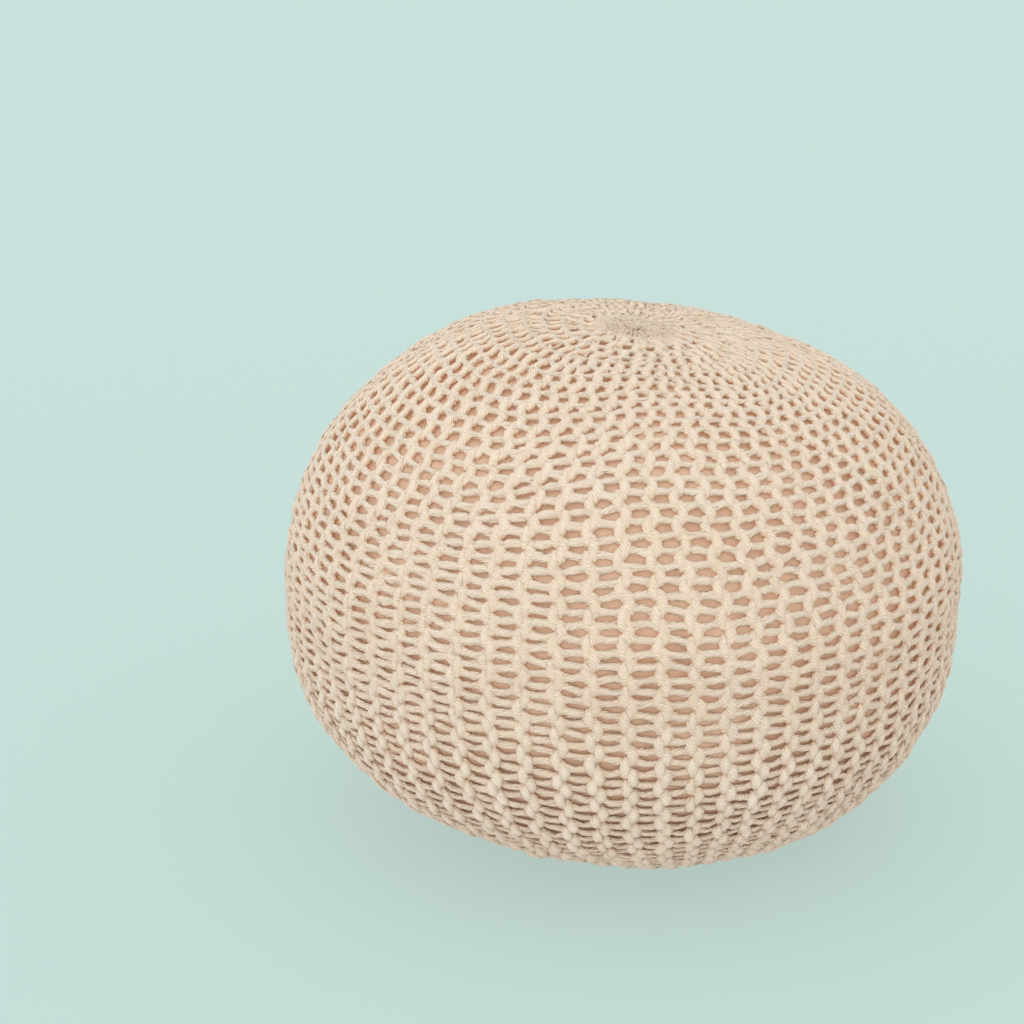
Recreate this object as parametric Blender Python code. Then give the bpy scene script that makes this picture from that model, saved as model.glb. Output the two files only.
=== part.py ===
"""A knitted pouf: a thick cotton cord cover, drawn in at crown and base, over its filling.

Metres, +Z up. The origin is on the floor under the middle of the belly, and -Y is the front.
The cover is knitted sideways in garter stitch, so its ridges run from crown to base. Every gore
has one ridge that runs all the way, and two shorter ones that end before the crown and the base.
"""

from bisect import bisect_left
from math import atan, cos, hypot, pi, radians, sin

import bmesh
import bpy
from mathutils import Quaternion, Vector

# Filled body, measured over the crests of the ridges
BELLY_RADIUS = 0.250
BELLY_HEIGHT = 0.199
CROWN_RISE = 0.175          # from the belly up to the crown
FOOT_RADIUS = 0.095         # the flat that the filling presses on the floor
CROWN_POWER = 1.72          # how evenly the upper half turns in from the belly
CROWN_ROUNDNESS = 2.93      # how flat the crown is across
UNDER_POWER = 3.05
UNDER_ROUNDNESS = 1.35

# The pouf has settled to one side: its crown slopes and its foot stands off centre
CROWN_SHIFT = 0.009
CROWN_SLOPE = 0.130
SLOPE_TURN = radians(-20)   # the side that the crown slopes down to
FOOT_SHIFT = 0.033
LEAN_POWER = 6              # keeps the lean close to the crown and the foot

# Ridges of the knitting
GORES = 22
RIDGE_DEPTH = 0.005         # crest to groove
GROOVE_FADE = 0.030         # height over the floor in which the grooves press flat
COVER_TURN = radians(2.9)   # where the first gore begins
CROWD_TURN = radians(-41)   # the side where the ridges are pushed closest together
CROWDING = 0.065
CROWDING_TWICE = 0.014
ASKEW = 0.18                # turn for each metre over the belly, as the cover sits a little askew
CROWN_SPREAD = 0.45         # how far the ridges spread apart over the front of the crown
SPREAD_LENGTH = 0.19        # length from the closing over which that spread fades out

# Distance from the closing, along the cover, at which each ridge of a gore starts
RIDGE_STARTS = (0.014, 0.040, 0.074)
WIDENING = 0.020            # length over which a new ridge reaches its full width
RING_STEP = 0.021

# Drawn-in closings
RECESS_RADIUS = 0.0125
RECESS_DEPTH = 0.0060
GATHER_RADIUS = 0.0115
GATHER_HEIGHT = 0.0070
BASE_GATHER_HEIGHT = 0.0040
FLUTE_DEPTH = 0.0012
FLUTES = 22
GAP = 0.0003

OUTLINE_STEPS = 400

CORD_COLOR = (0.79, 0.64, 0.49, 1.0)
GATHER_COLOR = (0.74, 0.58, 0.43, 1.0)


def clear_scene():
    for item in list(bpy.data.objects):
        bpy.data.objects.remove(item, do_unlink=True)


def cotton(name, color):
    material = bpy.data.materials.new(name)
    material.use_nodes = True
    shader = material.node_tree.nodes["Principled BSDF"]
    shader.inputs["Base Color"].default_value = color
    shader.inputs["Roughness"].default_value = 0.9
    shader.inputs["Metallic"].default_value = 0.0
    return material


def ease(share):
    """Smooth step from 0 to 1."""
    share = min(1.0, max(0.0, share))
    return share * share * (3.0 - 2.0 * share)


def outline_half(rise, power, roundness, inner):
    """Radius and distance from the belly's level, from the belly to the closing or foot."""
    points = []
    for step in range(OUTLINE_STEPS + 1):
        level = sin(step / OUTLINE_STEPS * pi / 2)
        spread = max(0.0, 1.0 - level ** power) ** (1.0 / roundness)
        points.append((inner + (BELLY_RADIUS - inner) * spread, rise * level))
    return points


def meridian():
    """One meridian of the filled body as (length from the crown, radius, height)."""
    crown = outline_half(CROWN_RISE, CROWN_POWER, CROWN_ROUNDNESS, 0.0)
    under = outline_half(BELLY_HEIGHT, UNDER_POWER, UNDER_ROUNDNESS, FOOT_RADIUS)
    path = [(radius, BELLY_HEIGHT + rise) for radius, rise in reversed(crown)]
    path += [(radius, BELLY_HEIGHT - drop) for radius, drop in under[1:]]
    length = 0.0
    stations = [(0.0, *path[0])]
    for before, after in zip(path, path[1:]):
        length += hypot(after[0] - before[0], after[1] - before[1])
        stations.append((length, *after))
    return stations


STATIONS = meridian()
LENGTHS = [station[0] for station in STATIONS]
CROWN_TO_FOOT = LENGTHS[-1]
CROWN_TO_BASE = CROWN_TO_FOOT + FOOT_RADIUS


def on_meridian(length):
    """Radius and height at a length from the crown, with the outward normal's two parts."""
    after = min(len(STATIONS) - 1, max(1, bisect_left(LENGTHS, length)))
    start, end = STATIONS[after - 1], STATIONS[after]
    share = (length - start[0]) / (end[0] - start[0])
    radius = start[1] + share * (end[1] - start[1])
    height = start[2] + share * (end[2] - start[2])
    run = hypot(end[1] - start[1], end[2] - start[2])
    return radius, height, (start[2] - end[2]) / run, (end[1] - start[1]) / run


def settled(turn, radius, height):
    """A point of the upright, round body, moved to where the settled pouf has it."""
    above = max(0.0, (height - BELLY_HEIGHT) / CROWN_RISE) ** LEAN_POWER
    below = max(0.0, (BELLY_HEIGHT - height) / BELLY_HEIGHT) ** LEAN_POWER
    x, y = radius * cos(turn), radius * sin(turn)
    sunk = CROWN_SLOPE * radius * cos(turn - SLOPE_TURN) * above
    return Vector((x + CROWN_SHIFT * above + FOOT_SHIFT * below, y, height - sunk))


def ridge_widths(length):
    """How wide each ridge of a gore is here, from 0 before it starts to 1."""
    edge = min(length, CROWN_TO_BASE - length)
    return [ease((edge - start) / WIDENING) for start in RIDGE_STARTS[1:]]


def ridge_turn(share, length):
    """Direction of a line along the ridges, from its share of the way round the pouf."""
    turn = share * 2 * pi + COVER_TURN
    side = turn - CROWD_TURN
    turn -= CROWDING * sin(side) + CROWDING_TWICE * sin(2 * side)
    height = on_meridian(length)[1]
    turn += ASKEW * (height - BELLY_HEIGHT) * sin(turn)
    return turn + CROWN_SPREAD * (1.0 - ease(length / SPREAD_LENGTH)) * cos(turn)


def ribbed_ring(length):
    """Points round the body at one length from the crown: a crest and a groove for each ridge."""
    radius, height, outward, upward = on_meridian(length)
    widths = [1.0] + [width for width in ridge_widths(length) if width > 0.0]
    depth = RIDGE_DEPTH * ease(height / GROOVE_FADE)
    ring = []
    for gore in range(GORES):
        reached = 0.0
        for width in widths:
            crest = (gore + (reached + width / 2) / sum(widths)) / GORES
            reached += width
            groove = (gore + reached / sum(widths)) / GORES
            sunk = depth * min(1.0, width)
            groove_radius, groove_height = radius - sunk * outward, height - sunk * upward
            ring.append(settled(ridge_turn(crest, length), radius, height))
            ring.append(settled(ridge_turn(groove, length), groove_radius, groove_height))
    return ring


def recess_ring(radius, face_height, level):
    """A plain ring of a closing's recess, at a level over or under the face that it is sunk into."""
    corners = 2 * GORES
    length = 0.0 if face_height > BELLY_HEIGHT else CROWN_TO_FOOT
    turns = [ridge_turn(corner / corners, length) for corner in range(corners)]
    return [settled(turn, radius, face_height) + Vector((0.0, 0.0, level)) for turn in turns]


def add_loop(mesh, points):
    """A closed loop of edges through the points."""
    corners = [mesh.verts.new(point) for point in points]
    return [mesh.edges.new((corners[index - 1], corner)) for index, corner in enumerate(corners)]


def lofted(name, rings, material):
    """One closed body through the rings, with a face over the first and the last."""
    mesh = bmesh.new()
    loops = [add_loop(mesh, ring) for ring in rings]
    for upper, lower in zip(loops, loops[1:]):
        bmesh.ops.bridge_loops(mesh, edges=upper + lower)
    for loop in (loops[0], loops[-1]):
        bmesh.ops.contextual_create(mesh, geom=loop)
    bmesh.ops.triangulate(mesh, faces=mesh.faces[:])
    bmesh.ops.recalc_face_normals(mesh, faces=mesh.faces[:])
    data = bpy.data.meshes.new(name)
    mesh.to_mesh(data)
    mesh.free()
    data.shade_smooth()
    data.set_sharp_from_angle(angle=radians(50))
    data.materials.append(material)
    body = bpy.data.objects.new(name, data)
    bpy.context.collection.objects.link(body)
    return body


def knitted_cover(material):
    """The cover over its filling, from the floor of the crown's recess to that of the base."""
    top = BELLY_HEIGHT + CROWN_RISE
    rings = [
        recess_ring(RECESS_RADIUS - GAP, top, -RECESS_DEPTH),
        recess_ring(RECESS_RADIUS, top, -RECESS_DEPTH / 2),
    ]
    first = RIDGE_STARTS[0] + GAP
    steps = round((CROWN_TO_FOOT - first) / RING_STEP)
    for step in range(steps + 1):
        rings.append(ribbed_ring(first + (CROWN_TO_FOOT - first) * step / steps))
    rings += [
        recess_ring(RECESS_RADIUS + RECESS_DEPTH, 0.0, 0.0),
        recess_ring(RECESS_RADIUS, 0.0, RECESS_DEPTH / 2),
        recess_ring(RECESS_RADIUS - GAP, 0.0, RECESS_DEPTH),
    ]
    return lofted("knitted_cover", rings, material)


def gather(name, height, material):
    """End loops drawn up tight: a low fluted knot with a dimple in its middle."""
    profile = (
        (0.86, 0.0),
        (1.0, 0.45),
        (0.86, 0.85),
        (0.55, 1.0),
        (0.22, 0.80),
    )
    rings = []
    for share, level in profile:
        ring = []
        for corner in range(2 * FLUTES):
            sunk = FLUTE_DEPTH * share * (corner % 2)
            turn = pi * corner / FLUTES
            reach = GATHER_RADIUS * share - sunk
            ring.append(Vector((reach * cos(turn), reach * sin(turn), height * level)))
        rings.append(ring)
    return lofted(name, rings, material)


def main():
    clear_scene()
    knitted_cover(cotton("cotton_cord", CORD_COLOR))
    gather_cotton = cotton("gather_cord", GATHER_COLOR)
    crown = gather("crown_gather", GATHER_HEIGHT, gather_cotton)
    crown.location = (CROWN_SHIFT, 0.0, BELLY_HEIGHT + CROWN_RISE - RECESS_DEPTH + GAP)
    slope_axis = Vector((-sin(SLOPE_TURN), cos(SLOPE_TURN), 0.0))
    crown.rotation_euler = Quaternion(slope_axis, atan(CROWN_SLOPE)).to_euler()
    base = gather("base_gather", BASE_GATHER_HEIGHT, gather_cotton)
    base.location = (FOOT_SHIFT, 0.0, RECESS_DEPTH - GAP)
    base.rotation_euler.x = pi


main()
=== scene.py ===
"""A knitted pouf: garter stitch in thick cotton cord over a filled bag, on a pale floor."""

from bisect import bisect_left
from math import cos, hypot, pi, radians, sin, sqrt

import bmesh
import bpy
import numpy as np
from mathutils import Euler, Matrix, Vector, noise


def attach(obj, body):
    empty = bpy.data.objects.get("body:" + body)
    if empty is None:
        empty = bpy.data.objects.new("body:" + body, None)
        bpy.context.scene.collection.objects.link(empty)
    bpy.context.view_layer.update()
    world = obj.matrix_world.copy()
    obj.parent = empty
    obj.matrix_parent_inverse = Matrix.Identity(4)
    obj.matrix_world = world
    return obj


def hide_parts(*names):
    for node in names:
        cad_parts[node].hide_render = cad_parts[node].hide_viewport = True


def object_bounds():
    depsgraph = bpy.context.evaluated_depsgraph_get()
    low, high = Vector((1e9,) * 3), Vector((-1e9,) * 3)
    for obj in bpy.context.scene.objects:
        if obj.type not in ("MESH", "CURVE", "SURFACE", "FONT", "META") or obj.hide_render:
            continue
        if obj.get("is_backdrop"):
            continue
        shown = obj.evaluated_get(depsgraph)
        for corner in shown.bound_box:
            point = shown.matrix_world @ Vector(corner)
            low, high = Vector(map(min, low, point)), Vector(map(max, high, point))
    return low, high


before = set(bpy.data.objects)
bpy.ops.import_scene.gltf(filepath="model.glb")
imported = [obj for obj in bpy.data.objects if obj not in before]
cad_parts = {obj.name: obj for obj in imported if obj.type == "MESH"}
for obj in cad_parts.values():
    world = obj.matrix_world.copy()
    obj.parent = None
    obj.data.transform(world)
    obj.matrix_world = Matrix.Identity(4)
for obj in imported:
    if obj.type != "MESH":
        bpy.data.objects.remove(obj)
cad_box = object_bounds()


# ---------------------------------------------------------------------------------------------
# Inner bag. A smooth bag of dusty pink cotton holds the filling and gives the pouf its shape. It
# shows only as the ground between the stitches, so it lies one thickness of knitting inside the
# outline, leans as the whole pouf does, and is flat where it stands on the floor.
# ---------------------------------------------------------------------------------------------

BELLY_RADIUS = 0.250                    # the filled pouf, over the crests of its ridges
BELLY_HEIGHT = 0.199
CROWN_RISE = 0.175                      # from the belly up to the crown
FOOT_RADIUS = 0.095                     # the flat that the filling presses on the floor
CROWN_POWER, CROWN_ROUNDNESS = 1.72, 2.93   # how the upper half turns in from the belly
UNDER_POWER, UNDER_ROUNDNESS = 3.05, 1.35   # how the lower half does
CROWN_SHIFT, FOOT_SHIFT = 0.009, 0.033  # crown and foot stand off the belly's middle
CROWN_SLOPE = 0.130
SLOPE_TURN = radians(-20)               # the side that the crown slopes down to
LEAN_POWER = 6                          # keeps the lean close to the crown and the foot
OUTLINE_STEPS, FOOT_STEPS = 400, 20     # of each half of the meridian, and of the flat foot

BAG_LIFT = -0.0056                      # from the outline over the ridges in to the bag
BAG_NECK = 0.001                        # radius of its narrowest ring
BAG_RINGS, BAG_SPOKES = 60, 132
MERGE_DISTANCE = 1e-6

BAG_PINK = (0.80, 0.56, 0.42, 1.0)
BAG_SHADE = (0.66, 0.44, 0.29, 1.0)
BAG_PAINTED_GLOW = (0.050, 0.036, 0.022, 1.0)   # painted glow on the bag, standing in for light that comes through the cover
BLACK = (0.0, 0.0, 0.0, 1.0)
PAINTED_GLOW_FROM, PAINTED_GLOW_TO = 0.08, 0.22         # heights between which the painted glow grows brighter
BAG_CLOUD_SCALE = 34.0                  # waves for each metre, as all noise scales here
BAG_CLOUD, BAG_WEAVE = 0.9, 0.12        # how much of the colour the clouds and the weave make
BAG_THREADS_PER_METRE = 900
BAG_THREAD_HEIGHT = 0.0004


def ease(share):
    """Smooth step from 0 to 1."""
    share = min(1.0, max(0.0, share))
    return share * share * (3.0 - 2.0 * share)


def outline_half(rise, power, roundness, inner):
    """Radius and distance from the belly's level, from the belly to the closing or foot."""
    points = []
    for step in range(OUTLINE_STEPS + 1):
        level = sin(step / OUTLINE_STEPS * pi / 2)
        spread = max(0.0, 1.0 - level ** power) ** (1.0 / roundness)
        points.append((inner + (BELLY_RADIUS - inner) * spread, rise * level))
    return points


def meridian():
    """One meridian from crown to base centre as (length, radius, height)."""
    crown = outline_half(CROWN_RISE, CROWN_POWER, CROWN_ROUNDNESS, 0.0)
    under = outline_half(BELLY_HEIGHT, UNDER_POWER, UNDER_ROUNDNESS, FOOT_RADIUS)
    path = [(radius, BELLY_HEIGHT + rise) for radius, rise in reversed(crown)]
    path += [(radius, BELLY_HEIGHT - drop) for radius, drop in under[1:]]
    path += [(FOOT_RADIUS * (1 - step / FOOT_STEPS), 0.0) for step in range(1, FOOT_STEPS + 1)]
    length = 0.0
    stations = [(0.0, *path[0])]
    for before, after in zip(path, path[1:]):
        length += hypot(after[0] - before[0], after[1] - before[1])
        stations.append((length, *after))
    return stations


STATIONS = meridian()
LENGTHS = [station[0] for station in STATIONS]
CROWN_TO_BASE = LENGTHS[-1]


def on_meridian(length):
    """Radius and height at a length from the crown, with the outward normal's two parts."""
    after = min(len(STATIONS) - 1, max(1, bisect_left(LENGTHS, length)))
    start, end = STATIONS[after - 1], STATIONS[after]
    share = (length - start[0]) / (end[0] - start[0])
    radius = start[1] + share * (end[1] - start[1])
    height = start[2] + share * (end[2] - start[2])
    run = hypot(end[1] - start[1], end[2] - start[2])
    return radius, height, (start[2] - end[2]) / run, (end[1] - start[1]) / run


def settled(turn, radius, height):
    """A point of the upright, round body, moved to where the settled pouf has it."""
    above = max(0.0, (height - BELLY_HEIGHT) / CROWN_RISE) ** LEAN_POWER
    below = min(1.0, max(0.0, (BELLY_HEIGHT - height) / BELLY_HEIGHT)) ** LEAN_POWER
    x, y = radius * cos(turn), radius * sin(turn)
    sunk = CROWN_SLOPE * radius * cos(turn - SLOPE_TURN) * above
    return Vector((x + CROWN_SHIFT * above + FOOT_SHIFT * below, y, height - sunk))


class Wire:
    """A number that varies over a surface. Arithmetic on it adds Math nodes."""

    def __init__(self, finish, socket):
        self.finish, self.socket = finish, socket

    def math(self, operation, *values):
        return self.finish.node("ShaderNodeMath", {"operation": operation}, dict(enumerate(values)))

    def sine(self):
        return self.math("SINE", self)

    def __add__(self, other):
        return self.math("ADD", self, other)

    def __sub__(self, other):
        return self.math("SUBTRACT", self, other)

    def __rsub__(self, other):
        return self.math("SUBTRACT", other, self)

    def __mul__(self, other):
        return self.math("MULTIPLY", self, other)

    def __pow__(self, other):
        return self.math("POWER", self, other)

    __radd__, __rmul__ = __add__, __mul__


class Nodes:
    """The nodes of a material or a world, with its one shader."""

    def __init__(self, tree, shader):
        self.tree, self.shader = tree, tree.nodes[shader]

    def node(self, kind, settings=None, inputs=None, output=0):
        made = self.tree.nodes.new(kind)
        for name, value in (settings or {}).items():
            setattr(made, name, value)
        for name, value in (inputs or {}).items():
            self.join(made.inputs[name], value)
        return Wire(self, made.outputs[output])

    def join(self, socket, value):
        if isinstance(value, Wire):
            self.tree.links.new(value.socket, socket)
        else:
            socket.default_value = value

    def mix(self, share, first, second):
        """A colour between two colours."""
        settings = {"data_type": "RGBA", "clamp_factor": True}
        return self.node("ShaderNodeMix", settings, {0: share, 6: first, 7: second}, output=2)

    def between(self, value, start, end):
        """How far a value has come from start to end, from 0 to 1."""
        return self.node("ShaderNodeMapRange", inputs={0: value, 1: start, 2: end})

    def parts(self, vector):
        """The three numbers of a place or of a direction."""
        split = self.node("ShaderNodeSeparateXYZ", inputs={0: vector}).socket.node
        return [Wire(self, part) for part in split.outputs]

    def feed(self, socket, value):
        self.join(self.shader.inputs[socket], value)


class Finish(Nodes):
    """A material on one Principled shader."""

    def __init__(self, name, **constants):
        self.material = bpy.data.materials.new(name)
        self.material.use_nodes = True
        super().__init__(self.material.node_tree, "Principled BSDF")
        for socket, value in constants.items():
            self.shader.inputs[socket.replace("_", " ")].default_value = value


def bag_cotton():
    """Plain weave, dusty pink, darker between its threads, with a painted glow that grows with
    height.
    """
    finish = Finish("bag_cotton", Roughness=0.92, Sheen_Weight=0.15, Emission_Strength=1.0)
    place = finish.node("ShaderNodeTexCoord", output=3)
    across, _, upward = finish.parts(place)
    turns = 2 * pi * BAG_THREADS_PER_METRE
    weave = (across * turns).sine() * (upward * turns).sine()
    clouds = {"Vector": place, "Scale": BAG_CLOUD_SCALE, "Detail": 3.0}
    cloud = finish.node("ShaderNodeTexNoise", inputs=clouds)
    tone = cloud * BAG_CLOUD + weave * BAG_WEAVE
    finish.feed("Base Color", finish.mix(tone, BAG_SHADE, BAG_PINK))
    # A painted glow, brighter higher up, lightens the bag where it shows between the stitches
    painted_glow = finish.between(upward, PAINTED_GLOW_FROM, PAINTED_GLOW_TO)
    finish.feed("Emission Color", finish.mix(painted_glow, BLACK, BAG_PAINTED_GLOW))
    relief = {"Strength": 0.35, "Distance": BAG_THREAD_HEIGHT, "Height": weave}
    finish.feed("Normal", finish.node("ShaderNodeBump", inputs=relief))
    finish.material.cycles.emission_sampling = "NONE"
    return finish.material


def new_piece(name, data, material, *nodes):
    """Hangs a finished mesh on the frame, in place of the solids that it stands for."""
    data.materials.append(material)
    piece = bpy.data.objects.new(name, data)
    bpy.context.scene.collection.objects.link(piece)
    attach(piece, "root")
    if nodes:
        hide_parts(*nodes)
    return piece


def mesh_of(name, shape):
    """A smooth mesh of a shape that is finished."""
    data = bpy.data.meshes.new(name)
    shape.to_mesh(data)
    shape.free()
    data.shade_smooth()
    return data


shape = bmesh.new()
rim = []
for ring in range(BAG_RINGS + 1):
    radius, height, outward, upward = on_meridian(CROWN_TO_BASE * ring / BAG_RINGS)
    reach = 0.0 if ring in (0, BAG_RINGS) else max(BAG_NECK, radius + BAG_LIFT * outward)
    rim.append(shape.verts.new((reach, 0.0, height + BAG_LIFT * upward)))
edges = [shape.edges.new(pair) for pair in zip(rim, rim[1:])]
bmesh.ops.spin(
    shape,
    geom=rim + edges,
    cent=(0, 0, 0),
    axis=(0, 0, 1),
    angle=2 * pi,
    steps=BAG_SPOKES,
    use_merge=True,
)
bmesh.ops.remove_doubles(shape, verts=shape.verts[:], dist=MERGE_DISTANCE)
bmesh.ops.recalc_face_normals(shape, faces=shape.faces[:])
for corner in shape.verts:
    across = corner.co.to_2d()
    turn = across.angle_signed(Vector((1.0, 0.0)), 0.0)
    corner.co = settled(turn, across.length, corner.co.z)
inner_bag = new_piece("inner_bag", mesh_of("inner_bag", shape), bag_cotton(), "knitted_cover")


# ---------------------------------------------------------------------------------------------
# Knitted cover. It is knitted sideways by hand in garter stitch, with thick soft cotton cord. Two
# courses make one ridge from crown to base, and short rows leave some ridges out near the
# closings. Each ridge here is one closed cord, whose loops reach on under the ridges beside it.
# ---------------------------------------------------------------------------------------------

GORES = 22
COVER_TURN = radians(2.9)               # where the first gore begins
CROWD_TURN = radians(-41)               # the side where the ridges are pushed closest together
CROWDING, CROWDING_TWICE = 0.065, 0.014
ASKEW = 0.18                            # turn for each metre over the belly
CROWN_SPREAD = 0.45                     # how far the ridges spread over the front of the crown
SPREAD_LENGTH = 0.19                    # length from the crown over which that fades out

FIRST_LOOP = 0.020                      # from a closing to the first loop of the longest ridge
LONGEST_LOOP = 0.0257                   # from loop to loop, where the cover isn't drawn wide
DRAWN_SHORT = 0.0783                    # what being drawn wide takes off, for each metre of radius
LOOPS_LEFT_OUT = (0, 1, 2)              # at each end of the three ridges of a gore
WIDENING = 0.7                          # loops over which a new ridge reaches its full width
OVERRUN = 0.1                           # loops that a cord may go past the longest ridge's ends
STEPS_PER_LOOP = 17
SIDES_LEVEL = 1                         # Blender's bevel resolution
CORD_SIDES = 4 + 2 * SIDES_LEVEL

RIDGE_CORD, BACK_CORD = 0.0042, 0.0020  # radius of the cord on a ridge, and drawn tight behind
LEG_SWELL = 0.0003                      # how much thicker it is again on the way between them
RIDGE_FLATNESS, BACK_FLATNESS = 0.50, 0.52
KNIT_MIDDLE = -0.0037                   # the knitting's middle, in from the outline
OVER_AND_UNDER = 0.0013                 # how far the cord goes over and under the one it holds
VALLEY_DEPTH = 0.0008
CREST_FLAT = 0.0006                     # evens out the crest of a ridge
TIGHT_CREST_FLAT = 0.0006               # and this much more where the ridge is narrow
ARC_OFFSET = 0.0025                     # loop heads lie this far to one side of a ridge's line
LOOP_LEAN = 0.10                        # how far a loop's sides lean over its neighbours, in loops
LOOP_NECK = 0.012                       # how far they close in on each other behind it
SIDE_TILT = 0.26                        # how far they slant on the way to the next ridge, in loops
LOOP_REACH = 0.80                       # how far they reach on under it, in widths of a course
TIGHT_PITCH = 0.017                     # cords of ridges closer than this are slimmer
SLIMMEST = 0.70
DRAWN_FROM, DRAWN_TO = 0.11, 0.21       # heights between which the cover is drawn up more open
DRAWN_CORD = 1.09                       # how much broader the cord lies there
DRAWN_LEVEL = 0.45                      # by what share it goes less far over and under there
DRAWN_RAISE = 0.0008                    # how much less far back the sides of its loops lie there
PULLED_FROM, PULLED_TO = 0.235, 0.325   # heights between which the cord is pulled thinner
PULLED_THIN = 0.08                      # by this share

NOISE_SEED = 3                          # gives the same drift and wobble in every run
NOISE_START = Vector((3.1, 7.7, 1.3))   # where in the noise the pouf's middle lies
DRIFT, DRIFT_SCALE = 0.0018, 18.0       # slow wander of the stitches
WOBBLE, WOBBLE_SCALE = 0.0016, 75.0     # unevenness from stitch to stitch
LOOP_SLIP = 0.9                         # how far the loops have slipped along a ridge, in loops
SLIP_AROUND, SLIP_ALONG = 1.3, 0.07     # waves of that slip round the pouf, and for each loop
SLIP_FADE = 3                           # loops from a closing over which the slip sets in
THICKNESS_VARIATION, THICKNESS_SCALE = 0.14, 37.5
LUMPS = 0.00045                         # raised and sunk fibres on the cord

CORD_CREAM = (0.86, 0.76, 0.60, 1.0)
CORD_PALE = (0.93, 0.85, 0.73, 1.0)
CORD_GROOVE_PAINTED_SHADE = (0.74, 0.56, 0.38, 1.0)    # painted shade in the grooves between its yarns, stronger further in
CORD_DEPTH_PAINTED_SHADE = (0.87, 0.57, 0.36, 1.0)    # painted shade, warm and dark, where the cord lies deep in the knit and little light gets in
CORD_PAINTED_GLOW = (0.17, 0.108, 0.060, 1.0)   # painted glow deep in the knit, standing in for light that comes through the cotton
OPEN_DEPTH, CLOSED_DEPTH = 0.0009, 0.0056   # depths between which the painted shade deepens and the painted glow grows
# how far the painted depth shade takes over the cord's colour
DEPTH_SHADE_SHARE = 0.9
CORD_CLOUD_SCALE = 30.0
TWIST_PER_METRE = 42
STRANDS = 9                             # fine yarns seen around the cord
FIBRES_ALONG, FIBRES_AROUND = 260.0, 14.0   # waves of the fibres, for each metre and each turn
FIBRE_STRAY = 2.5                       # how far the fibres push a yarn aside, in radians
GROOVE_SHARPNESS = 3.0
YARN_RELIEF, FIBRE_RELIEF = 0.6, 0.6
OUTSIDE_RELIEF, OUTSIDE_GROOVE = 0.35, 0.2  # how much of the relief and of the painted groove shade shows on the outermost cord
SUNK_GAIN = 0.5                         # how much more of each shows further in
RELIEF_HEIGHT = 0.0009

noise.seed_set(NOISE_SEED)


def loop_count():
    """Loops from the crown down to each station of the meridian."""
    count = 0.0
    counts = [count]
    for before, after in zip(STATIONS, STATIONS[1:]):
        radius = (before[1] + after[1]) / 2
        count += (after[0] - before[0]) / sqrt(LONGEST_LOOP ** 2 - (DRAWN_SHORT * radius) ** 2)
        counts.append(count)
    return counts


LOOP_COUNTS = loop_count()
LOOPS_TO_FIRST = float(np.interp(FIRST_LOOP, LENGTHS, LOOP_COUNTS))
LOOPS_TO_LAST = float(np.interp(CROWN_TO_BASE - FIRST_LOOP, LENGTHS, LOOP_COUNTS))
LOOPS = round(LOOPS_TO_LAST - LOOPS_TO_FIRST)


def length_at(loop):
    """Length from the crown at a place along a ridge, counted in loops of the longest ridge."""
    count = LOOPS_TO_FIRST + loop * (LOOPS_TO_LAST - LOOPS_TO_FIRST) / LOOPS
    after = min(len(LOOP_COUNTS) - 1, max(1, bisect_left(LOOP_COUNTS, count)))
    share = (count - LOOP_COUNTS[after - 1]) / (LOOP_COUNTS[after] - LOOP_COUNTS[after - 1])
    return LENGTHS[after - 1] + share * (LENGTHS[after] - LENGTHS[after - 1])


def ridge_turn(share, length, height):
    """Direction of a line along the ridges, from its share of the way round the pouf."""
    turn = share * 2 * pi + COVER_TURN
    side = turn - CROWD_TURN
    turn -= CROWDING * sin(side) + CROWDING_TWICE * sin(2 * side)
    turn += ASKEW * (height - BELLY_HEIGHT) * sin(turn)
    return turn + CROWN_SPREAD * (1.0 - ease(length / SPREAD_LENGTH)) * cos(turn)


def ridge_lines(gore, ridge, loop, length, height):
    """Directions of a ridge's two back edges and of its front line."""
    edge = min(loop, LOOPS - loop)
    widths = [ease((edge - left_out) / WIDENING + 0.5) for left_out in LOOPS_LEFT_OUT]
    widths[0] = 1.0
    left = sum(widths[:ridge])
    lines = (left, left + widths[ridge] / 2, left + widths[ridge])
    return [ridge_turn((gore + line / sum(widths)) / GORES, length, height) for line in lines]


def uneven(point):
    """Moves neighbouring cords together, as hand-knitted stitches lie."""
    slow = noise.noise_vector(point * DRIFT_SCALE + NOISE_START) * DRIFT
    quick = noise.noise_vector(point * WOBBLE_SCALE + NOISE_START) * WOBBLE
    return point + slow + quick


def slip_at(spoke, place):
    """How far the loops have slipped here, alike in the ridges that lie side by side."""
    waves = Vector((SLIP_AROUND * cos(spoke), SLIP_AROUND * sin(spoke), SLIP_ALONG * place))
    return LOOP_SLIP * noise.noise(waves) * ease(min(place, LOOPS - place) / SLIP_FADE)


def thickness_at(front, slim, drawn, pulled, point):
    """Radius of the cord: thick on a ridge, slim behind it and where the cover is narrow."""
    thickness = BACK_CORD + (RIDGE_CORD - BACK_CORD) * front ** 2
    thickness += LEG_SWELL * (4 * front * (1 - front)) ** 2
    thickness *= (SLIMMEST + (1 - SLIMMEST) * slim) * (1 + (DRAWN_CORD - 1) * drawn)
    thickness *= 1 - PULLED_THIN * pulled
    return thickness * (1.0 + THICKNESS_VARIATION * noise.noise(point * THICKNESS_SCALE))


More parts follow.
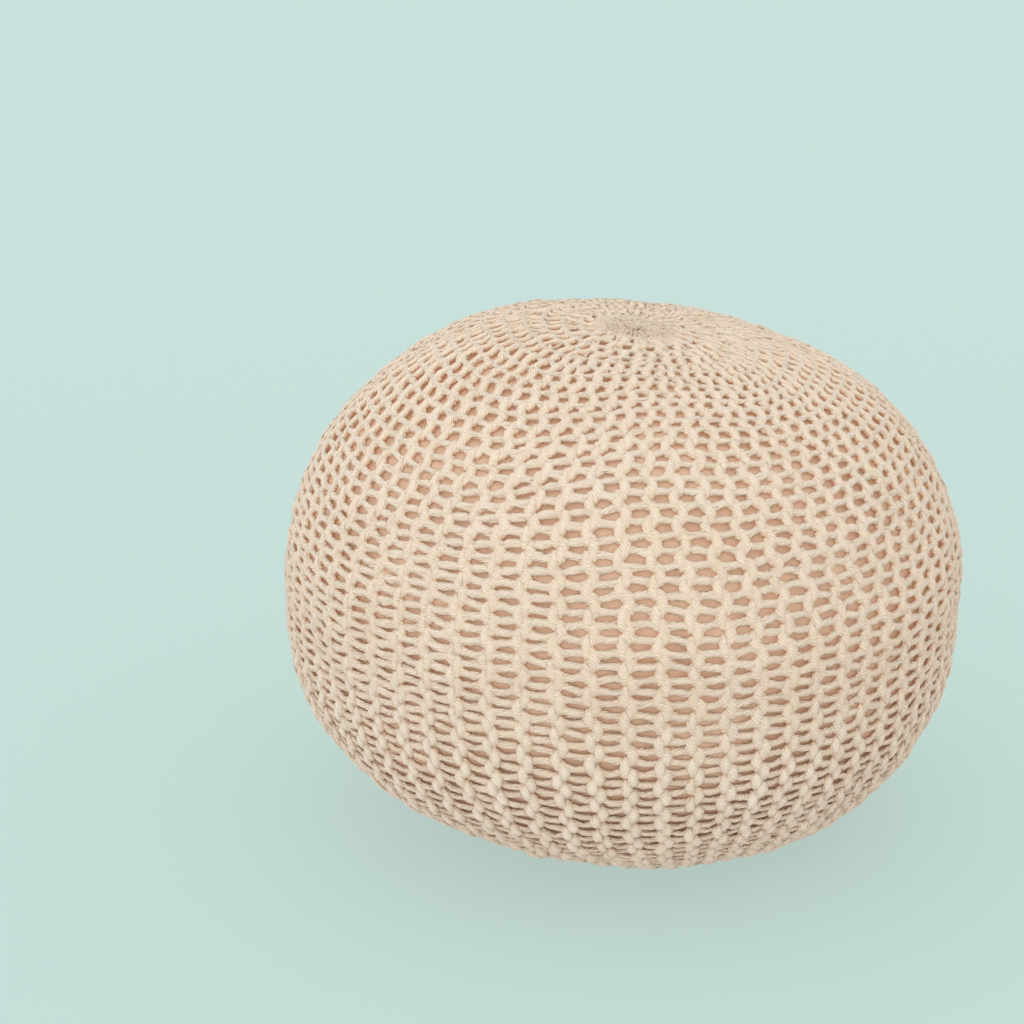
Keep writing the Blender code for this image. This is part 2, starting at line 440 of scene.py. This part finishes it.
def stitch(gore, ridge, purl, loop, phase):
    """The cord's middle, its radius and flatness, which way the cover faces there, and its depth.

    Phase runs from 0 to 1 along one loop. A purl loop starts on the ridge and a knit loop behind
    it. Front is 1 on the ridge and 0 where the loop turns round, under the ridge beside it.
    """
    side = 1 if purl else -1
    swing = cos(2 * pi * phase)
    front = (1 + side * swing) / 2
    reach = 0.5 + LOOP_REACH * (1 - front)
    # The two ridges beside a gap share its slant, so that their loops' sides lie along each other
    gap_share = ((0.5 if purl else 1.5) - reach * swing) / 2
    place = loop + phase + LOOP_LEAN * sin(4 * pi * phase)
    place -= (SIDE_TILT * (gap_share - 0.5) + side * LOOP_NECK) * sin(2 * pi * phase)
    spoke = 2 * pi * (gore + (ridge + side * (1 - front)) / len(LOOPS_LEFT_OUT)) / GORES
    place += slip_at(spoke, place)

    height = on_meridian(length_at(loop + phase))[1]
    drawn = ease((height - DRAWN_FROM) / (DRAWN_TO - DRAWN_FROM))
    pulled = ease((height - PULLED_FROM) / (PULLED_TO - PULLED_FROM))
    length = length_at(min(LOOPS + OVERRUN, max(-OVERRUN, place)))
    radius, height, outward, upward = on_meridian(length)
    left, middle, right = ridge_lines(gore, ridge, place, length, height)
    start, end = (middle, right) if purl else (left, middle)
    slim = min(1.0, radius * (right - left) / TIGHT_PITCH)
    turn = (start + end) / 2 - ((end - start) * reach + ARC_OFFSET * slim / radius) * swing

    weave = OVER_AND_UNDER * (1 - DRAWN_LEVEL * drawn) * cos(6 * pi * phase)
    lift = KNIT_MIDDLE + side * (weave + VALLEY_DEPTH * (1 - drawn) * swing)
    lift += DRAWN_RAISE * drawn * (1 - front)
    lift -= (CREST_FLAT + TIGHT_CREST_FLAT * (1 - slim)) * cos(8 * pi * phase) * front ** 2
    point = uneven(settled(turn, radius + lift * outward, height + lift * upward))
    thickness = thickness_at(front, slim, drawn, pulled, point)
    flatness = BACK_FLATNESS + (RIDGE_FLATNESS - BACK_FLATNESS) * front
    facing = Vector((outward * cos(turn), outward * sin(turn), upward))
    return point, thickness, flatness, facing, -lift


def ridge_cord(gore, ridge):
    """The closed line of one ridge's cord: down along the knit course, up along the purl course."""
    first = LOOPS_LEFT_OUT[ridge]
    stitches = []
    for loop in range(first, LOOPS - first):
        for step in range(STEPS_PER_LOOP):
            stitches.append(stitch(gore, ridge, False, loop, step / STEPS_PER_LOOP))
    for loop in range(LOOPS - first - 1, first - 1, -1):
        for step in range(STEPS_PER_LOOP, 0, -1):
            stitches.append(stitch(gore, ridge, True, loop, step / STEPS_PER_LOOP))
    return stitches


def cord_curve(name, cords, closed):
    """A mesh of round cords along lines of stitches."""
    curve = bpy.data.curves.new(name, "CURVE")
    curve.dimensions = "3D"
    curve.bevel_depth = 1.0
    curve.bevel_resolution = SIDES_LEVEL
    for cord in cords:
        spline = curve.splines.new("POLY")
        spline.points.add(len(cord) - 1)
        for corner, (point, thickness, *rest) in zip(spline.points, cord):
            corner.co = (*point, 1.0)
            corner.radius = thickness
        spline.use_cyclic_u = closed
    holder = bpy.data.objects.new(name, curve)
    data = bpy.data.meshes.new_from_object(holder)
    bpy.data.objects.remove(holder)
    bpy.data.curves.remove(curve)
    return data


def press_flat(data, cords):
    """Presses the round cords flat against the cover, lumpy with fibres, and notes their depth."""
    places = np.empty(len(data.vertices) * 3, np.float32)
    data.vertices.foreach_get("co", places)
    places = places.reshape(-1, CORD_SIDES, 3)
    middles, flatness, facings, depths = (
        np.array([place[column] for cord in cords for place in cord]) for column in (0, 2, 3, 4)
    )
    spokes = places - middles[:, None]
    lumps = np.random.default_rng(len(places)).normal(0.0, LUMPS, places.shape[:2])
    spokes *= 1.0 + (lumps / np.linalg.norm(spokes, axis=2))[..., None]
    out = (spokes * facings[:, None]).sum(axis=2)
    pressed = (out * (flatness[:, None] - 1.0))[..., None] * facings[:, None]
    places = middles[:, None] + spokes + pressed
    places[..., 2] = np.maximum(places[..., 2], 0.0)
    data.vertices.foreach_set("co", places.astype(np.float32).ravel())
    # The depth sets where the cord's material paints shade and glow, and how much relief shows
    inward = data.attributes.new("inward", "FLOAT", "POINT")
    depths = depths[:, None] - out * flatness[:, None]
    inward.data.foreach_set("value", depths.astype(np.float32).ravel())


def measure_along(data, cords, closed):
    """Stretches the UV map so that U is metres along each cord. V stays once around it."""
    across = np.empty(len(data.loops) * 2, np.float32)
    data.uv_layers[0].data.foreach_get("uv", across)
    across = across.reshape(-1, 2)
    corner = 0
    for cord in cords:
        line = np.array([point for point, *rest in cord])
        length = np.linalg.norm(np.diff(line, axis=0), axis=1).sum()
        faces = CORD_SIDES * (len(cord) if closed else len(cord) - 1)
        across[corner:corner + 4 * faces, 0] *= length
        corner += 4 * faces
    data.uv_layers[0].data.foreach_set("uv", across.ravel())


def cord_mesh(name, cords, closed):
    """The finished mesh of such cords, with their open ends filled."""
    data = cord_curve(name, cords, closed)
    press_flat(data, cords)
    measure_along(data, cords, closed)
    shape = bmesh.new()
    shape.from_mesh(data)
    open_edges = [edge for edge in shape.edges if edge.is_boundary]
    bmesh.ops.holes_fill(shape, edges=open_edges, sides=CORD_SIDES)
    bpy.data.meshes.remove(data)
    return mesh_of(name, shape)


def cotton_cord():
    """Soft cotton cord: fine yarns laid with a slow twist, cream, with painted shade in its
    grooves.
    """
    finish = Finish(
        "cotton_cord",
        Roughness=0.88,
        Sheen_Weight=0.25,
        Sheen_Roughness=0.6,
        Emission_Strength=1.0,
    )
    along, around, _ = finish.parts(finish.node("ShaderNodeTexCoord", output=2))
    place = finish.node("ShaderNodeTexCoord", output=3)
    upward = finish.parts(place)[2]
    depth = finish.node("ShaderNodeAttribute", {"attribute_name": "inward"}, output=2)
    # How deep the cord lies: inner sets the painted depth shade and glow, sunk the painted groove
    # shade and relief
    inner = finish.between(depth, OPEN_DEPTH, CLOSED_DEPTH)
    sunk = finish.between(depth, 0.0, OPEN_DEPTH)

    twisted = around + along * TWIST_PER_METRE
    lengthwise = {0: along * FIBRES_ALONG, 1: twisted * FIBRES_AROUND}
    lengthwise = finish.node("ShaderNodeCombineXYZ", inputs=lengthwise)
    fibres = {"Vector": lengthwise, "Scale": 1.0, "Detail": 3.0}
    fibres = finish.node("ShaderNodeTexNoise", inputs=fibres)
    yarns = (twisted * (2 * pi * STRANDS) + fibres * FIBRE_STRAY).sine() * 0.5 + 0.5
    relief = yarns * YARN_RELIEF + fibres * FIBRE_RELIEF
    bump = {"Height": relief * (sunk * SUNK_GAIN + OUTSIDE_RELIEF), "Distance": RELIEF_HEIGHT}
    finish.feed("Normal", finish.node("ShaderNodeBump", inputs={"Strength": 1.0, **bump}))

    clouds = {"Vector": place, "Scale": CORD_CLOUD_SCALE, "Detail": 2.0}
    tone = finish.mix(finish.node("ShaderNodeTexNoise", inputs=clouds), CORD_CREAM, CORD_PALE)
    # Painted shade in the grooves between the yarns, stronger where the cord lies further in
    groove = (1 - yarns) ** GROOVE_SHARPNESS
    tone = finish.mix(groove * (sunk * SUNK_GAIN + OUTSIDE_GROOVE), tone, CORD_GROOVE_PAINTED_SHADE)
    # Painted shade, warmer and darker, where the cord lies deep in the knit
    finish.feed("Base Color", finish.mix(inner * DEPTH_SHADE_SHARE, tone, CORD_DEPTH_PAINTED_SHADE))
    # Painted glow where the cord lies deep in the knit, brighter higher up
    painted_glow = inner * finish.between(upward, PAINTED_GLOW_FROM, PAINTED_GLOW_TO)
    finish.feed("Emission Color", finish.mix(painted_glow, BLACK, CORD_PAINTED_GLOW))
    finish.material.cycles.emission_sampling = "NONE"
    return finish.material


cord_finish = cotton_cord()
for gore in range(GORES):
    name = f"knit_gore_{gore + 1:02d}"
    cords = [ridge_cord(gore, ridge) for ridge in range(len(LOOPS_LEFT_OUT))]
    piece = new_piece(name, cord_mesh(name, cords, closed=True), cord_finish, "knitted_cover")


# ---------------------------------------------------------------------------------------------
# Crown gather. The end loops of all the ridges are drawn up on one cord until they meet in the
# middle of the crown: tapered strands, jammed side by side, that dip into a small pucker.
# ---------------------------------------------------------------------------------------------

GATHER_STRANDS = 44                     # every other one ends short of the middle
GATHER_REACH = 0.038                    # from the middle to under the first loops
GATHER_START, SHORT_START = 0.0022, 0.0105
GATHER_STEPS = 16
GATHER_CORD = 0.0027                    # radius of a strand where it has room
GATHER_OVERLAP = 0.52                   # a strand's radius, as a share of the way to the next one
SHORT_WIDENING = 0.010                  # length over which the short strands make room
SHORT_TIP, SHORT_TAPER = 0.25, 4        # how blunt and how steep the ends of those are
TUCK_FROM, TUCK_SHARE = 0.7, 0.3        # the share of a strand that goes under the first loops
PUCKER_DEPTH, PUCKER_RADIUS = 0.0030, 0.0060
GATHER_PAINTED_DEPTH = 0.0034                   # given the painted shade and glow of cord that lies this far in


def drawn_in(base):
    """The strands of one closing, each from near the middle out to under the first loops."""
    strands = []
    for strand in range(GATHER_STRANDS):
        short = strand % 2 == 1
        start = SHORT_START if short else GATHER_START
        line = []
        for step in range(GATHER_STEPS + 1):
            share = step / GATHER_STEPS
            away = start + (GATHER_REACH - start) * share
            length = CROWN_TO_BASE - away if base else away
            radius, height, outward, upward = on_meridian(length)
            turn = ridge_turn((strand + 0.5) / GATHER_STRANDS, length, height)
            count = GATHER_STRANDS / 2 * (1 + ease((away - SHORT_START) / SHORT_WIDENING))
            thickness = min(GATHER_CORD, GATHER_OVERLAP * 2 * pi * away / count)
            thickness *= ease(share * SHORT_TAPER + SHORT_TIP) if short else 1.0
            lift = -GATHER_CORD - PUCKER_DEPTH * (1 - ease(away / PUCKER_RADIUS))
            lift -= (GATHER_CORD + RIDGE_CORD) * ease((share - TUCK_FROM) / TUCK_SHARE)
            point = uneven(settled(turn, radius + lift * outward, height + lift * upward))
            facing = Vector((outward * cos(turn), outward * sin(turn), upward))
            line.append((point, thickness, 1.0, facing, GATHER_PAINTED_DEPTH))
        strands.append(line)
    return strands


crown_gather = cord_mesh("crown_puckers", drawn_in(base=False), closed=False)
crown_gather = new_piece("crown_puckers", crown_gather, cord_finish, "crown_gather")


# ---------------------------------------------------------------------------------------------
# Base gather. The same closing underneath, drawn up on a second cord and pressed flat by the
# weight of the pouf.
# ---------------------------------------------------------------------------------------------

base_gather = cord_mesh("base_puckers", drawn_in(base=True), closed=False)
base_gather = new_piece("base_puckers", base_gather, cord_finish, "base_gather")


# ---------------------------------------------------------------------------------------------
# Floor, light and camera. A plain pale floor under an even, soft light, stronger from the upper
# left in front. The light from below is warm and dim, and the floor's own colour isn't cast up.
# ---------------------------------------------------------------------------------------------

FLOOR_COLOR = (0.175, 0.228, 0.214, 1.0)
FLOOR_GLOW = (0.355, 0.475, 0.450, 1.0)
FLOOR_SIDE = 60.0
LIGHT_ABOVE = (0.86, 0.86, 0.85, 1.0)
LIGHT_BELOW = (0.40, 0.27, 0.17, 1.0)
LIGHT_KEY = (1.22, 1.24, 1.25, 1.0)
KEY_SHARE = 0.8                         # how far the key takes over from the even light
KEY_FROM = Vector((-0.34, -0.60, 0.64))
FRONT_LIGHT = 0.40
FRONT_SPREAD = radians(60)
FRONT_FROM = Vector((-0.30, -0.93, 0.20))
CAMERA_DISTANCE = 1.75                  # from the middle of the belly
CAMERA_HEIGHT = radians(20)             # above the level
CAMERA_LENS = 82.7
AIM_LEFT, AIM_UP = 0.0492, 0.0177       # turns that put the pouf right of and below the middle

floor_finish = Finish(
    "floor_paint",
    Roughness=0.9,
    Base_Color=FLOOR_COLOR,
    Emission_Color=FLOOR_GLOW,
    Emission_Strength=1.0,
)
floor_finish.material.cycles.emission_sampling = "NONE"
shape = bmesh.new()
bmesh.ops.create_grid(shape, x_segments=1, y_segments=1, size=FLOOR_SIDE / 2)
floor_data = mesh_of("floor", shape)
floor_data.materials.append(floor_finish.material)
floor_sheet = bpy.data.objects.new("floor", floor_data)
bpy.context.scene.collection.objects.link(floor_sheet)
floor_sheet.visible_diffuse = False
floor_sheet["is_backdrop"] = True

world = bpy.data.worlds.new("room_light")
world.use_nodes = True
bpy.context.scene.world = world
room = Nodes(world.node_tree, "Background")
direction = room.node("ShaderNodeTexCoord", output=0)
even_light = room.mix(room.parts(direction)[2] * 0.5 + 0.5, LIGHT_BELOW, LIGHT_ABOVE)
key = {0: direction, 1: KEY_FROM.normalized()}
towards = room.node("ShaderNodeVectorMath", {"operation": "DOT_PRODUCT"}, key, output=1)
room.feed("Color", room.mix((towards * 0.5 + 0.5) * KEY_SHARE, even_light, LIGHT_KEY))

front_data = bpy.data.lights.new("front_light", "SUN")
front_data.energy = FRONT_LIGHT
front_data.angle = FRONT_SPREAD
front_light = bpy.data.objects.new("front_light", front_data)
front_light.rotation_euler = FRONT_FROM.to_track_quat("Z", "Y").to_euler()
bpy.context.scene.collection.objects.link(front_light)

belly = Vector((0.0, 0.0, BELLY_HEIGHT))
view_data = bpy.data.cameras.new("view")
view_data.lens = CAMERA_LENS
camera = bpy.data.objects.new("view", view_data)
view_from = Vector((0.0, -cos(CAMERA_HEIGHT), sin(CAMERA_HEIGHT)))
camera.location = belly + CAMERA_DISTANCE * view_from
camera.rotation_euler = Euler((pi / 2 - CAMERA_HEIGHT + AIM_UP, 0.0, AIM_LEFT))
bpy.context.scene.collection.objects.link(camera)
bpy.context.scene.camera = camera
bpy.context.scene.view_settings.view_transform = "Standard"

boxes = {"cad": cad_box, "visual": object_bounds()}
boxes = {name: [list(corner) for corner in box] for name, box in boxes.items()}
